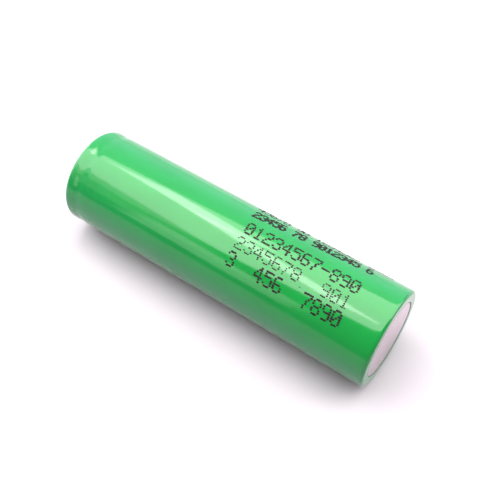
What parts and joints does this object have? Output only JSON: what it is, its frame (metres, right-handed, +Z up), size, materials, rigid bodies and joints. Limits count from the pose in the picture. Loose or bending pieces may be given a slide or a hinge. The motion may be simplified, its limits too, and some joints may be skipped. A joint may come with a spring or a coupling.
{
  "type": "cylindrical battery cell",
  "caption": "Cylindrical rechargeable cell in a glossy green shrink sleeve, with a flat metal negative end, a raised vented positive cap behind a rolled bead, and its wound roll inside.",
  "frame": {"origin": "the middle of the cell, on its axis and halfway between its two ends", "axes": "+X along the axis, out of the flat negative end; -X out of the positive contact; +Z up as the cell lies on its side"},
  "size_m": [0.0648, 0.0184, 0.0184],
  "materials": {
    "sleeve_film": "glossy heat-shrunk film, bright green",
    "nickel_plated_steel": "satin nickel plating",
    "pin_steel": "rolled strip, satin",
    "ring_paper": "matt white",
    "gasket_resin": "translucent, satin",
    "insulator_resin": "moulded, satin",
    "plate_aluminium": "stamped sheet, satin",
    "cathode_coating": "matt black coating on foil",
    "anode_coating": "matt graphite grey coating on foil",
    "separator_film": "porous white film",
    "aluminium_tab": "strip, bright",
    "nickel_tab": "strip, bright",
    "tab_tape": "amber film tape",
    "closing_tape": "green film tape",
    "glass_laminate": "resin bonded glass cloth, matt"
  },
  "bodies": {
    "cell": {"sleeve": "sleeve_film", "can": "nickel_plated_steel", "top_cap": "nickel_plated_steel", "positive_insulator_ring": "ring_paper", "gasket": "gasket_resin", "safety_vent": "plate_aluminium", "cid_insulator": "insulator_resin", "cid_plate": "plate_aluminium", "sub_plate": "plate_aluminium", "upper_insulator_disc": "glass_laminate", "lower_insulator_disc": "glass_laminate", "centre_pin": "pin_steel", "cathode_sheet": "cathode_coating", "anode_sheet": "anode_coating", "separator_inner": "separator_film", "separator_outer": "separator_film", "cathode_tab": "aluminium_tab", "anode_tab_inner": "nickel_tab", "anode_tab_outer": "nickel_tab", "cathode_tab_tape": "tab_tape", "anode_tab_tape_inner": "tab_tape", "anode_tab_tape_outer": "tab_tape", "roll_closing_tape": "closing_tape"},
    "interrupter_disc": {"contact_disc": "plate_aluminium"}
  },
  "joints": [
    {"name": "interrupter_trip", "type": "slide", "parent": "cell", "child": "interrupter_disc", "axis": [-1, 0, 0], "range_m": [0, 0.0004], "deforming": ["safety_vent"]}
  ]
}
